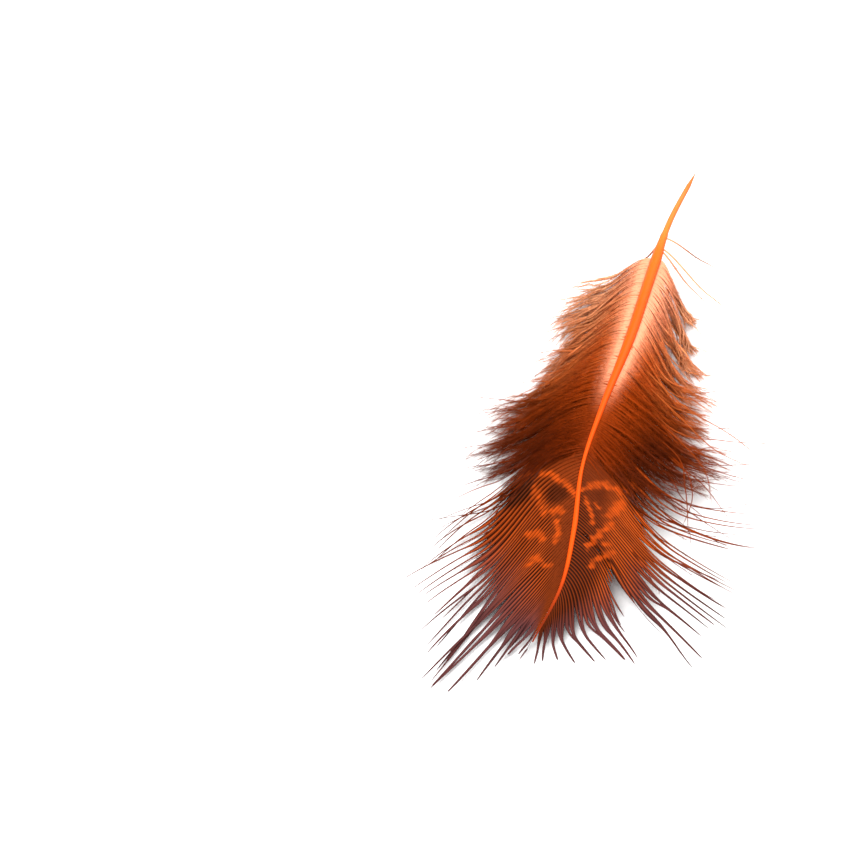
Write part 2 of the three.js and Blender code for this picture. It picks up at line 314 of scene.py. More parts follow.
# Markings of the firm vane, as strokes in plan from the quill's tip: a half width and its points.
STROKES = [
    (0.34, [(-0.5, -60.7), (-1.9, -59.7), (-3.7, -58.5), (-5.2, -58.1)]),
    (0.32, [(0.3, -60.0), (1.6, -58.9), (2.6, -58.5), (4.6, -58.6)]),
    (0.18, [(4.6, -58.6), (5.4, -57.1), (6.0, -56.1)]),
    (0.22, [(-5.6, -60.1), (-4.1, -62.4), (-3.0, -64.1)]),
    (0.42, [(-2.2, -63.5), (-1.2, -63.4)]),
    (0.26, [(-1.4, -64.8), (-1.0, -66.1), (-0.8, -67.5)]),
    (0.38, [(-4.3, -66.5), (-3.2, -66.5), (-2.4, -67.3)]),
    (0.3, [(-2.9, -69.8), (-2.1, -70.2)]),
    (0.24, [(-3.6, -70.5), (-3.2, -70.7)]),
    (0.24, [(-1.2, -70.7), (-0.7, -70.9)]),
    (0.2, [(1.1, -61.3), (2.1, -62.8), (2.6, -64.2)]),
    (0.14, [(2.2, -61.6), (3.0, -61.8)]),
    (0.5, [(5.1, -60.0), (4.2, -62.4)]),
    (0.34, [(4.7, -63.4), (4.1, -64.5), (3.5, -65.8), (2.9, -67.2)]),
    (0.24, [(4.6, -66.3), (5.0, -66.1)]),
    (0.28, [(5.7, -67.0), (4.3, -68.3), (3.8, -69.5)]),
]
STROKE_EDGE = 0.26 * MM
STROKE_ROUGHNESS = 0.13 * MM
BARB_ROUGHNESS = 0.7
MARK_LEVELS = (0.7, 1)
# Two waves make the strokes' edges uneven: turns across and along the vane for each blot size.
BLOT_SIZE = 1.3 * MM
BLOT_WAVES = ((1, 0.7), (-0.6, 1.3))
# Dark ovals between and beside the strokes: middle, two radii and strength.
OVALS = np.array([
    (-2.4, -61.0, 1.6, 1.7, 1),
    (3.4, -60.0, 1.7, 1.0, 0.35),
    (6.9, -58.8, 1.6, 1.6, 0.9),
    (-7.6, -60.2, 2.6, 2.6, 1),
]) * (MM, MM, MM, MM, 1)
OVAL_EDGE = (0.6, 1.15)

# Loose single barbs: side, station, angle, bend, length, height of the tip and darkness.
LOOSE_BARBS = np.array([
    (1, 15.6, 80, -18, 8, 3.4, 0.8),
    (1, 18, 58, -4, 12.5, 3.0, 0.3),
    (1, 18.6, 48, 0, 9, 3.8, 0.3),
    (-1, 17.8, 20, 30, 3.2, 4.4, 0.8),
    (-1, 28, 84, -40, 13, 1.6, 0.6),
]) * (1, MM, 1, 1, MM, MM, 1)
# Long thin strands near the guides' course.
STRANDS = {-1: 34, 1: 32}
STRAND_REACHES = {-1: (0.8, 1.04), 1: (0.75, 1)}
STRAND_STATIONS = (23 * MM, 57 * MM)
STRAND_SAMPLES = 40
LONGEST_STRAND = 20 * MM
STRAND_ANGLE_SPREAD = 14
STRAND_BEND_SPREAD = 38
STRAND_LIFT = 0.8 * MM
STRAND_DARKNESS = 0.35
DARK_STRAND_STATIONS = (30 * MM, 46 * MM)
# Tangled strands on the right: the station of the root, and points in space from the quill's tip.
TANGLED_STRANDS = [
    (46, [(9, -51, 4), (13.5, -53.5, 3.5), (18, -57.5, 2.5)]),
    (50, [(6, -55, 4.5), (11.5, -56.5, 3.2), (16, -56, 3), (20, -54, 3.2)]),
    (46, [(8.5, -50, 4), (14, -49.5, 3), (20, -47.5, 3.2)]),
    (42, [(8, -46.5, 4.2), (14, -46, 3.6), (20.5, -44.5, 3.4)]),
    (38, [(8, -42, 4), (14.5, -44.5, 3.4), (20, -47.5, 3)]),
    (45, [(8, -49.5, 4), (14, -50.5, 3.2), (20.5, -50.5, 2.6)]),
    (46, [(8, -50.5, 4), (14, -51, 3), (19.5, -51, 2.6)]),
    (54, [(8, -59, 3.5), (14, -59.5, 2.6), (21, -58.5, 2.4)]),
    (53.5, [(8.5, -58, 3.6), (13, -60, 3), (14, -62, 2.6)]),
    (47, [(9, -50, 4.2), (11.5, -54.5, 3.6), (13.5, -61, 2.8)]),
    (48, [(9.5, -51, 4), (12.5, -55, 3.4), (12.5, -60, 2.8)]),
    (50, [(8.5, -53, 4), (11.5, -56, 3.4), (15, -58, 2.8)]),
    (54.5, [(8, -58.5, 3.4), (15, -60, 2.4), (20, -61, 2)]),
    (52, [(8, -55.5, 3.8), (14, -58, 2.8), (19, -60, 2.4)]),
    (44, [(8.5, -47.5, 4.2), (13, -51, 3.4), (15, -55.5, 3)]),
    (40, [(8, -44, 4.2), (13.5, -47.5, 3.4), (19.5, -49, 3)]),
]
STRAND_HALF_WIDTH = 0.12 * MM
LOOSE_HALF_WIDTH = 0.15 * MM
STRAND_TAPER = 0.5
STRAND_POINT = (4, 0.002)
STRAND_TIP = 0.5
STRAND_DARK_REACH = 0.5
STRAND_BARBULES = Barbules(per_mm=4, radius=0.014 * MM, lean=24, lift=0.6, bent=True)
STRAND_BARBULE_LENGTH = 0.6 * MM
STRAND_BARBULE_START = 0.25

# Camera, from the quill's tip: what it looks at, its direction, its distance and the width it frames.
CAMERA_AIM = MM * Vector((-21.69, -50.78, 0))
CAMERA_AZIMUTH = math.radians(16.8)
CAMERA_ELEVATION = math.radians(48)
CAMERA_DISTANCE = 350 * MM
FRAMED_WIDTH = 103.7 * MM
SENSOR_WIDTH = 36
CAMERA_NEAR = 10 * MM

# Studio: a white floor and sky with two round lamps. Angles are in degrees, power is in watts.
FLOOR_HALF = 1.5
SKY_STRENGTH = 0.9
LAMP_DISTANCE = 0.9
LAMP_SIZE = 0.7
LAMPS = {
    "key_light": {"azimuth": -40, "elevation": 62, "power": 7.5},
    "back_light": {"azimuth": 160, "elevation": 50, "power": 6},
}

# Start and extent in the colour map, along a barb and across its own row, and the same for the shaft.
MAP_ALONG = (0.01, 0.97)
MAP_ACROSS = (0.1, 0.8)
SHAFT_MAP_ALONG = (0.02, 0.96)
SHAFT_MAP_ACROSS = (0.05, 0.9)
# The share of the colour map, along and across, that a spike's own patch takes, and the places of its
# corners there: root, bend and tip.
SPIKE_PATCH = (0.004, 0.002)
SPIKE_PLACES = np.array([(0, 0), (0.5, 0), (0, 0.5), (0.4, 0.4), (0.9, 0.4), (0.4, 0.9), (1, 1)])
# A slanting direction that the sides of a spike are turned from.
SPIKE_SLANT = np.array([0.3, 0.2, 1.0])
UP = np.array([0, 0, 1.0])

rng = np.random.default_rng(SEED)

TUFT_EDGES = {
    side: FIRST_DOWN + np.cumsum(rng.uniform(*widths, MOST_TUFTS)) for side, widths in TUFT_WIDTHS.items()
}

# The quill's tip is the solid's end towards +Y, and everything is placed from it.
quill_tip = max((vertex.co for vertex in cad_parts["feather"].data.vertices), key=lambda co: co.y)
TO_PART = np.array(quill_tip) - SHAFT_LINE[0]


def smoothstep(low, high, value):
    share = np.clip((value - low) / (high - low), 0, 1)
    return share * share * (3 - 2 * share)


def unit(vectors):
    return vectors / np.maximum(np.linalg.norm(vectors, axis=-1, keepdims=True), 1e-12)


def value_at(stops, station, column=1):
    return np.interp(station, stops[:, 0], stops[:, column])


def smooth_line(points, steps=40):
    """A Catmull-Rom curve through the points."""
    ends = np.vstack([2 * points[0] - points[1], points, 2 * points[-1] - points[-2]])
    u = np.linspace(0, 1, steps, endpoint=False)[:, None]
    spans = [
        b + (c - a) * u / 2 + (2 * a - 5 * b + 4 * c - d) * u**2 / 2 + (3 * b - a - 3 * c + d) * u**3 / 2
        for a, b, c, d in zip(ends, ends[1:], ends[2:], ends[3:])
    ]
    return np.vstack([*spans, points[-1:]])


shaft_points = smooth_line(SHAFT_LINE)
shaft_steps = np.linalg.norm(np.diff(shaft_points, axis=0), axis=1)
shaft_stations = np.concatenate([[0], np.cumsum(shaft_steps)])
SHAFT_LENGTH = shaft_stations[-1]


def shaft_point(station):
    station = np.clip(station, 0, SHAFT_LENGTH)
    return np.stack([np.interp(station, shaft_stations, axis) for axis in shaft_points.T], -1)


def shaft_at(station):
    """The shaft's middle, its level direction towards the vane's end and the direction to its right."""
    along = shaft_point(station + MM) - shaft_point(station - MM)
    along[..., 2] = 0
    along = unit(along)
    across = np.stack([-along[..., 1], along[..., 0], np.zeros_like(station)], -1)
    return shaft_point(station), along, across


@dataclass
class Barbs:
    """Barbs of one side: their points, the directions across and out of the vane, and their facts."""

    side: int
    stations: np.ndarray
    shares: np.ndarray
    lengths: np.ndarray
    paths: np.ndarray
    plan: np.ndarray
    across: np.ndarray
    out: np.ndarray

    @property
    def along(self):
        return unit(np.gradient(self.paths, axis=1))

    @property
    def distances(self):
        return self.lengths[:, None] * self.shares


def barb_points(side, facts, shares):
    """Points of barbs with these facts: station, angle, bend, dip, length and tip, one array each."""
    station, angle, bend, dip, length, tip = (np.asarray(fact)[:, None] for fact in facts)
    middle, along, across = shaft_at(station)
    between = (shares[:, 1:] + shares[:, :-1]) / 2
    shoulder = np.sin(np.pi * np.minimum(between / SHOULDER_END, 1)) ** 2
    heading = np.radians(angle + bend * between - dip * shoulder)
    steps = length * np.diff(shares, axis=1)
    forwards = running_sum(steps * np.cos(heading))
    outwards = ROOT_SHARE * value_at(SHAFT_HALF_WIDTHS, station) + running_sum(steps * np.sin(heading))
    points = middle + along * forwards[..., None] + across * (side * outwards)[..., None]
    fall = smoothstep(0, FALL_END, shares)
    points[..., 2] = middle[..., 2] + (tip - middle[..., 2]) * fall
    return points


def running_sum(steps):
    return np.pad(np.cumsum(steps, axis=1), ((0, 0), (1, 0)))


def guide_facts(side, stations):
    return [stations, *(value_at(GUIDES[side], stations, column) for column in range(1, 6))]


def make_barbs(side, stations, samples, reach):
    """Barbs on the guides' course, each as far as its own reach, a share of the guides' length."""
    shares = np.linspace(0, 1, samples)
    facts = guide_facts(side, stations)
    kept = value_at(KEPT_SHARES[side], stations) * reach
    paths = barb_points(side, facts, shares * kept[:, None])
    along = unit(np.gradient(paths, axis=1))
    beside = np.gradient(paths, axis=0)
    beside = unit(beside - (beside * along).sum(-1, keepdims=True) * along)
    out = np.cross(beside, along)
    out = unit(out * np.sign(out[..., 2:]))
    lengths = kept * facts[4]
    return Barbs(side, stations, shares, lengths, paths, paths[..., :2].copy(), np.cross(out, along), out)


def group_means(values, groups):
    means = [values[groups == group].mean(0) for group in range(groups.max() + 1)]
    return np.array(means)[groups]


def gather(barbs, groups, start, pull, stray):
    """Past a share, draws each barb to the middle of its group, and lets the groups stray a little."""
    past_start = (barbs.shares - start[:, None]) / (1 - start[:, None])
    free = smoothstep(0, 1, past_start)
    held = pull[:, None] * smoothstep(0, GATHER_SPAN, past_start)
    middles = group_means(barbs.paths, groups)
    barbs.paths = barbs.paths + (middles - barbs.paths) * held[..., None]
    sway = rng.standard_normal((groups.max() + 1, 2)).clip(-STRAY_LIMIT, STRAY_LIMIT)[groups]
    sideways = sway[:, :1] * free * stray * barbs.lengths[:, None]
    rise = sway[:, 1:] * free * stray * barbs.lengths[:, None] * STRAY_RISE
    barbs.paths = barbs.paths + barbs.across * sideways[..., None]
    barbs.paths[..., 2] += rise
    keep_above_floor(barbs)


def keep_above_floor(barbs):
    lowest = LOWEST_BARB - TO_PART[2]
    barbs.paths[..., 2] = np.maximum(barbs.paths[..., 2], lowest)


class Heap:
    """Many small closed forms that make one mesh, with values at their vertices."""

    def __init__(self):
        self.points = []
        self.faces = {3: [], 4: []}
        self.maps = []
        self.values = {}
        self.count = 0

    def add(self, points, quads, triangles, uv, values):
        points = points.reshape(-1, 3)
        self.points.append(points)
        self.faces[4].append(quads.reshape(-1, 4) + self.count)
        self.faces[3].append(triangles.reshape(-1, 3) + self.count)
        self.maps.append(uv.reshape(-1, 2))
        for name, value in values.items():
            self.values.setdefault(name, []).append(value.reshape(-1))
        self.count += len(points)

    def make(self, name, material):
        mesh = bpy.data.meshes.new(name)
        corners = [np.concatenate(self.faces[size]) for size in (4, 3)]
        loops = np.concatenate([faces.ravel() for faces in corners])
        sizes = np.concatenate([np.full(len(faces), faces.shape[1]) for faces in corners])
        mesh.vertices.add(self.count)
        points = np.concatenate(self.points) + TO_PART
        mesh.vertices.foreach_set("co", points.astype(np.float32).ravel())
        mesh.loops.add(len(loops))
        mesh.loops.foreach_set("vertex_index", loops.astype(np.int32))
        mesh.polygons.add(len(sizes))
        mesh.polygons.foreach_set("loop_start", (np.cumsum(sizes) - sizes).astype(np.int32))
        mesh.update(calc_edges=True)
        uv = np.concatenate(self.maps)[loops]
        mesh.uv_layers.new(name="OFBake").data.foreach_set("uv", uv.astype(np.float32).ravel())
        for value_name, parts in self.values.items():
            attribute = mesh.attributes.new(value_name, "FLOAT", "POINT")
            attribute.data.foreach_set("value", np.concatenate(parts).astype(np.float32))
        mesh.polygons.foreach_set("use_smooth", np.ones(len(sizes), bool))
        mesh.materials.append(material)
        piece = bpy.data.objects.new(name, mesh)
        bpy.context.scene.collection.objects.link(piece)
        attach(piece, "root")
        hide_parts("feather")
        return piece


def add_tubes(heap, rings, uv, values):
    """Closed tubes: rings of corners, listed from the top by the right, shaped (tube, ring, corner, 3)."""
    tubes, count, corners, _ = rings.shape
    index = np.arange(tubes * count * corners).reshape(tubes, count, corners)
    following = np.roll(index, -1, axis=2)
    quads = np.stack([index[:, :-1], index[:, 1:], following[:, 1:], following[:, :-1]], -1)
    fan = np.array([(0, corner, corner + 1) for corner in range(1, corners - 1)])
    triangles = np.concatenate([index[:, 0][:, fan], index[:, -1][:, fan[:, ::-1]]])
    heap.add(rings, quads, triangles, uv, values)


def add_spikes(heap, roots, bends, tips, radius, uv, values):
    """Closed three-sided spikes, straight or with a bend. Every value is one number for each spike."""
    along = unit(tips - roots)
    side = unit(np.cross(along, SPIKE_SLANT))
    other = np.cross(side, along)
    turns = 2 * np.pi * np.arange(3) / 3
    ring = side[:, None] * np.sin(turns)[:, None] + other[:, None] * np.cos(turns)[:, None]
    rings = [middle[:, None] + radius * ring for middle in (roots, *bends)]
    points = np.concatenate([*rings, tips[:, None]], axis=1)
    count, corners, _ = points.shape
    index = np.arange(count * corners).reshape(count, corners)
    sides = [(k, k + 3, (k + 1) % 3 + 3, (k + 1) % 3) for k in range(3)] if bends else []
    top = corners - 4
    point = [(top + k, top + 3, top + (k + 1) % 3) for k in range(3)]
    quads = index[:, np.array(sides, int).reshape(-1, 4)]
    triangles = index[:, np.array([*point, (0, 1, 2)])]
    places = np.concatenate([SPIKE_PLACES[:corners - 1], SPIKE_PLACES[-1:]])
    maps = uv[:, None] + places * SPIKE_PATCH
    heap.add(points, quads, triangles, maps, {k: np.repeat(v, corners) for k, v in values.items()})


def stroke_mask(plan, wobble):
    """How far each point of the vane is inside a stroke, from 0 to 1."""
    mask = np.zeros(plan.shape[:-1])
    for half_width, corners in STROKES:
        corners = MM * np.array(corners)
        for start, end in zip(corners, corners[1:]):
            span = end - start
            share = np.clip(((plan - start) @ span) / (span @ span), 0, 1)
            gap = np.linalg.norm(plan - start - share[..., None] * span, axis=-1) + wobble
            edge = half_width * MM
            inside = 1 - smoothstep(edge - STROKE_EDGE, edge + STROKE_EDGE, gap)
            mask = np.maximum(mask, inside)
    return mask


def oval_mask(plan):
    mask = np.zeros(plan.shape[:-1])
    for x, y, across, along, strength in OVALS:
        radius = np.hypot((plan[..., 0] - x) / across, (plan[..., 1] - y) / along)
        mask = np.maximum(mask, strength * (1 - smoothstep(*OVAL_EDGE, radius)))
    return mask


def map_row(barbs, across):
    """The place of each point in the colour map: along the barb, and across in a row of its own."""
    rows = np.arange(len(barbs.stations))[:, None]
    start, extent = MAP_ALONG
    along = np.broadcast_to(start + extent * barbs.shares, barbs.paths.shape[:2])
    start, extent = MAP_ACROSS
    row = (rows + start + extent * across) / len(rows)
    return np.stack([along, np.broadcast_to(row, along.shape)], -1)


def pointed(shares, power, least):
    """How wide a barb is at its shares, from 1 at its root to very little at its pointed tip."""
    return np.sqrt(np.clip(1 - shares**power, least, 1))


def corner_values(values, corners):
    return {name: np.repeat(value[..., None], corners, axis=-1) for name, value in values.items()}


def add_rami(heap, barbs, half_widths, plate_edge, rise, values):
    """A barb's ramus as a ridge, with the flat plate of its hooked barbules on both sides of it."""
    core = np.minimum(CORE_SHARE * half_widths, RAMUS_HALF_WIDTH)
    flat = np.zeros_like(half_widths)
    across = np.stack([flat, core, half_widths, flat, -half_widths, -core], -1)
    core_rise = CORE_RISE * rise
    up = np.stack([rise, core_rise, plate_edge, -KEEL_DEPTH * rise, -plate_edge, core_rise], -1)
    rings = barbs.paths[:, :, None] + barbs.across[:, :, None] * across[..., None]
    rings = rings + barbs.out[:, :, None] * up[..., None]
    uv = np.stack([map_row(barbs, place) for place in SECTION_PLACES], 2)
    shown = corner_values(values, len(SECTION_PLACES))
    even = values["even"][..., None]
    shown["ridge"] = values["ridge"][..., None] * (SECTION_RIDGES * (1 - even) + EVEN_LEVEL * even)
    add_tubes(heap, rings, uv, shown)


def add_barbules(heap, barbs, kind, start, lengths, values):
    """Barbules along both sides of each barb, leaning towards its tip and curling along it."""
    counts = np.maximum((barbs.lengths / MM * kind.per_mm).astype(int), FEWEST_BARBULES)
    barb = np.repeat(np.arange(len(counts)), counts)
    share = start[barb] + (1 - start[barb]) * (1 - rng.random(len(barb)) ** BARBULE_CROWDING)
    place = share * (len(barbs.shares) - 1)
    low = np.minimum(place.astype(int), len(barbs.shares) - 2)
    rest = (place - low)[:, None]

    def at(array):
        return array[barb, low] * (1 - rest) + array[barb, low + 1] * rest

    root = at(barbs.paths)
    along = unit(at(barbs.along))
    side = at(barbs.across) * rng.choice([-1, 1], len(barb))[:, None]
    out = at(barbs.out)
    turn = rng.normal(0, kind.lift, len(barb))[:, None]
    away = side * np.cos(turn) + out * np.sin(turn)
    angle = np.radians(rng.normal(kind.lean, LEAN_SPREAD * kind.lean, len(barb)))[:, None]
    size = (lengths(share, barbs.stations[barb]) * rng.uniform(*BARBULE_SIZES, len(barb)))[:, None]
    middle = root + 0.5 * size * (along * np.cos(angle) + away * np.sin(angle))
    tip = middle + 0.5 * size * (along * np.cos(CURL * angle) + away * np.sin(CURL * angle))
    lowest = LOWEST_BARB / 2 - TO_PART[2]
    for points in (middle, tip):
        points[:, 2] = np.maximum(points[:, 2], lowest)
    uv = map_row(barbs, 0.5)[barb, low]
    shown = {name: value[barb, low] for name, value in values.items()}
    shown["tone"] = shown["tone"] + rng.normal(0, BARBULE_TONE_SPREAD, len(barb))
    add_spikes(heap, root, [middle] if kind.bent else [], tip, kind.radius, uv, shown)


def vane_values(barbs):
    """What the vane's material reads: how far along, the ridges, the markings and each barb's tone."""
    count = len(barbs.stations)
    distances = barbs.distances
    across, along = 2 * np.pi * np.moveaxis(barbs.plan, -1, 0) / BLOT_SIZE
    blots = sum(np.sin(turns * across + more_turns * along) for turns, more_turns in BLOT_WAVES)
    wobble = STROKE_ROUGHNESS * (blots + rng.uniform(-BARB_ROUGHNESS, BARB_ROUGHNESS, (count, 1)))
    stations = np.repeat(barbs.stations[:, None], len(barbs.shares), 1)
    near = 1 - smoothstep(*EVEN_DISTANCES[barbs.side], distances)
    even = (1 - smoothstep(*EVEN_STATIONS[barbs.side], stations)) * near
    inner, outer = RIDGE_LEVELS[barbs.side]
    ridge = inner + (outer - inner) * smoothstep(*RIDGE_DISTANCES, distances)
    kept = value_at(KEPT_SHARES[barbs.side], stations)
    firm = np.maximum(smoothstep(*FIRM_STATIONS, stations), smoothstep(*FIRM_DISTANCES, distances))
    tip_start = value_at(TIP_STARTS[barbs.side], stations)
    dark = oval_mask(barbs.plan)
    tone_reach = smoothstep(0, VANE_TONE_REACH, barbs.shares)
    return {
        "station": stations / SHAFT_LENGTH,
        "ridge": ridge * firm * (1 - DARK_RIDGE_LOSS * dark),
        "mark": stroke_mask(barbs.plan, wobble) * rng.uniform(*MARK_LEVELS, (count, 1)),
        "dark": dark,
        "even": even,
        "tip": smoothstep(tip_start, tip_start + TIP_FADE, kept * barbs.shares),
        "pale": np.zeros_like(stations),
        "tone": VANE_TONE + VANE_TONE_SPREAD * rng.standard_normal((count, 1)) * tone_reach,
    }


def vane_groups(barbs):
    """Single barbs beside the down, then bundles of a few."""
    edges = [barbs.stations[0]]
    while edges[-1] < barbs.stations[-1]:
        width = value_at(BUNDLE_WIDTHS[barbs.side], edges[-1])
        edges.append(edges[-1] + width * rng.uniform(*BUNDLE_SPREAD))
    edges = np.sort([*edges, *KEPT_SHARES[barbs.side][:, 0]])
    return np.unique(np.searchsorted(edges, barbs.stations), return_inverse=True)[1]


def spacing(barbs):
    """Half the way from each barb to its neighbours, across the barb."""
    beside = np.gradient(barbs.paths, axis=0)
    return np.abs((beside * barbs.across).sum(-1)) / 2


def make_vane(name, side, material):
    count = VANE_BARBS[side]
    stations = np.linspace(*VANE_STATIONS, count)
    reach = 1 + VANE_REACH_SPREAD * rng.standard_normal(count).clip(*VANE_REACH_LIMITS)
    barbs = make_barbs(side, stations, VANE_SAMPLES, reach)
    sheet_width = spacing(barbs)
    zipped = value_at(ZIPPED_SHARES[side], stations) + ZIPPED_SPREAD * rng.standard_normal(count)
    zipped = np.minimum(zipped / value_at(KEPT_SHARES[side], stations), LAST_ZIPPED_SHARE)
    values = vane_values(barbs)
    loose = (zipped < LAST_ZIPPED_SHARE).astype(float)
    pull = loose * rng.uniform(*FINGER_PULLS[side], count)
    gather(barbs, vane_groups(barbs), zipped, pull, FINGER_STRAY * loose[:, None])
    free = smoothstep(*ZIP_EDGE, barbs.shares - zipped[:, None])
    free_width = value_at(FREE_HALF_WIDTHS[side], stations)[:, None]
    even = values["even"]
    half_widths = PLATE_OVERLAP * sheet_width * (1 - free) + free_width * free
    point = pointed(barbs.shares, *VANE_POINT)
    half_widths = np.maximum(half_widths, LEAST_HALF_WIDTH) * point
    plate_edge = PLATE_TILT * half_widths * (1 - even)
    firm = smoothstep(*RAISED_STATIONS, stations)[:, None]
    rise = RAMUS_RISE * (SOFT_RISE + (1 - SOFT_RISE) * firm) * (1 - TIP_RISE_LOSS * barbs.shares)
    rise = rise * (1 - EVEN_RISE_LOSS * even) * point
    heap = Heap()
    add_rami(heap, barbs, half_widths, plate_edge, rise, values)
    edge = dict(values, ridge=EVEN_LEVEL * even * values["ridge"])
    start = np.full(count, VANE_BARBULE_START)
    add_barbules(heap, barbs, VANE_BARBULES, start, vane_barbule_length, edge)
    return heap.make(name, material)


def vane_barbule_length(share, station):
    return VANE_BARBULE_LENGTH * (1 - VANE_BARBULE_TAPER * share)


def down_values(barbs):
    """What the down's material reads, under the same names as the vane's."""
    count = len(barbs.stations)
    distances = barbs.distances
    stations = np.repeat(barbs.stations[:, None], len(barbs.shares), 1)
    pale_length = value_at(PALE_LENGTHS[barbs.side], stations)
    pale_start, pale_end = PALE_FADE
    pale = 1 - smoothstep(pale_start * pale_length, pale_end * pale_length, distances)
    fade = 1 - smoothstep(*PALE_END, stations)
    middle = smoothstep(*DEEP_START, barbs.shares) * (1 - smoothstep(*DEEP_END, barbs.shares))
    deep = smoothstep(*DEEP_STATIONS, stations) * middle
    inner = 1 - smoothstep(*DOWN_RIDGE_DISTANCES, distances)
    tones = DOWN_TONE_SPREAD * rng.standard_normal((count, 1))
    return {
        "station": stations / SHAFT_LENGTH,
        "ridge": DOWN_RIDGE + DOWN_RIDGE_GAIN * inner * np.maximum(fade, LOWEST_RIDGES[barbs.side]),
        "mark": np.zeros_like(stations),
        "dark": deep * DEEP_LEVELS[barbs.side],
        "even": np.full_like(stations, DOWN_EVEN),
        "tip": smoothstep(*DOWN_TIP, barbs.shares + np.zeros_like(stations)),
        "pale": pale * fade,
        "tone": DOWN_TONES[barbs.side] + tones * smoothstep(0, DOWN_TONE_REACH, barbs.shares),
    }


def ruffle(barbs, bow):
    """Soft barbs wave from side to side and stand loosely over each other, bowed up or down."""
    count = len(barbs.stations)
    phase = rng.uniform(0, 2 * np.pi, (count, 1))
    waves = WAVE_SIZE * np.sin(phase + 2 * np.pi * WAVES * barbs.shares) * barbs.shares
    drift = DRIFT * rng.standard_normal((count, 1)) * barbs.distances * barbs.shares
    barbs.paths = barbs.paths + barbs.across * (waves + drift)[..., None]
    swell = np.sin(np.pi * barbs.shares)
    loft = DOWN_LOFT * rng.uniform(-1, 1, (count, 1))
    level = 1 - smoothstep(*BOW_END, barbs.stations)[:, None]
    barbs.paths[..., 2] += bow * level * swell**BOW_POWER + loft * swell**2
    keep_above_floor(barbs)


def down_barbule_length(share, station):
    ends = smoothstep(*BARBULE_GROWTH, share) * (1 - BARBULE_LOSS * smoothstep(*BARBULE_DECLINE, share))
    fullness = THIN_DOWN + (1 - THIN_DOWN) * smoothstep(*FULL_DOWN_STATIONS, station)
    return DOWN_BARBULE_LENGTH * fullness * (SHORTEST_BARBULE + (1 - SHORTEST_BARBULE) * ends)


def make_down(name, side, layer, material):
    last_station, bow = DOWN_LAYERS[layer]
    stations = np.linspace(FIRST_DOWN, last_station, DOWN_BARBS)
    groups = np.unique(np.searchsorted(TUFT_EDGES[side], stations), return_inverse=True)[1]
    reach = value_at(DOWN_REACHES[side], stations) * rng.uniform(*TUFT_REACHES, groups.max() + 1)[groups]
    reach = reach * rng.uniform(*DOWN_BARB_REACHES, DOWN_BARBS)
    barbs = make_barbs(side, stations, DOWN_SAMPLES, reach)
    values = down_values(barbs)
    start = value_at(TUFT_STARTS[side], stations) + TUFT_START_RANGE * rng.random(DOWN_BARBS)
    pull = value_at(TUFT_HOLDS, stations) * rng.uniform(*TUFT_PULLS[side], DOWN_BARBS)
    gather(barbs, groups, start, pull, TUFT_STRAY)
    ruffle(barbs, bow)
    width = value_at(DOWN_RAMUS_HALF_WIDTHS, barbs.distances)
    point = pointed(barbs.shares, *DOWN_POINT)
    rise = np.broadcast_to(DOWN_RAMUS_RISE * point, width.shape)
    heap = Heap()
    add_rami(heap, barbs, width * point, np.zeros_like(width), rise, values)
    bare = BARE_SHARE * value_at(PALE_LENGTHS[side], stations) / barbs.lengths
    add_barbules(heap, barbs, DOWN_BARBULES, bare, down_barbule_length, values)
    return heap.make(name, material)


def add_strands(heap, side, stations, paths, half_width, darkness):
    """Single thin barbs along paths, with short barbules on their outer part."""
    shares = np.linspace(0, 1, STRAND_SAMPLES)
    along = unit(np.gradient(paths, axis=1))
    out = unit(UP - along * along[..., 2:])
    lengths = np.linalg.norm(np.diff(paths, axis=1), axis=2).sum(1)
    barbs = Barbs(side, stations, shares, lengths, paths, paths[..., :2], np.cross(out, along), out)
    keep_above_floor(barbs)
    values = down_values(barbs)
    values["pale"] = np.zeros_like(values["pale"])
    values["tip"] = STRAND_TIP * values["tip"]
    values["dark"] = smoothstep(0, STRAND_DARK_REACH, shares) * darkness[:, None]
    width = half_width * (1 - STRAND_TAPER * shares) * pointed(shares, *STRAND_POINT)
    width = np.broadcast_to(width, values["tip"].shape)
    add_rami(heap, barbs, width, np.zeros_like(width), width, values)
    start = np.full(len(stations), STRAND_BARBULE_START)
    add_barbules(heap, barbs, STRAND_BARBULES, start, strand_barbule_length, values)


def strand_barbule_length(share, station):
    return np.full_like(share, STRAND_BARBULE_LENGTH)


def strand_paths(side, facts):
    return barb_points(side, facts, np.tile(np.linspace(0, 1, STRAND_SAMPLES), (len(facts[0]), 1)))


def traced_path(station, points):
    """Evenly spaced points on a smooth line from the shaft through the points."""
    line = smooth_line(np.vstack([shaft_point(station * MM), MM * np.array(points)]))
    reached = np.concatenate([[0], np.cumsum(np.linalg.norm(np.diff(line, axis=0), axis=1))])
    wanted = np.linspace(0, reached[-1], STRAND_SAMPLES)
    return np.stack([np.interp(wanted, reached, axis) for axis in line.T], -1)


def make_loose_barbs(name, material):
    heap = Heap()
    for side, station, angle, bend, length, tip, darkness in LOOSE_BARBS:
        facts = [np.array([fact]) for fact in (station, angle, bend, 0, length, tip)]
        paths = strand_paths(int(side), facts)
        add_strands(heap, int(side), facts[0], paths, LOOSE_HALF_WIDTH, np.array([darkness]))
    return heap.make(name, material)


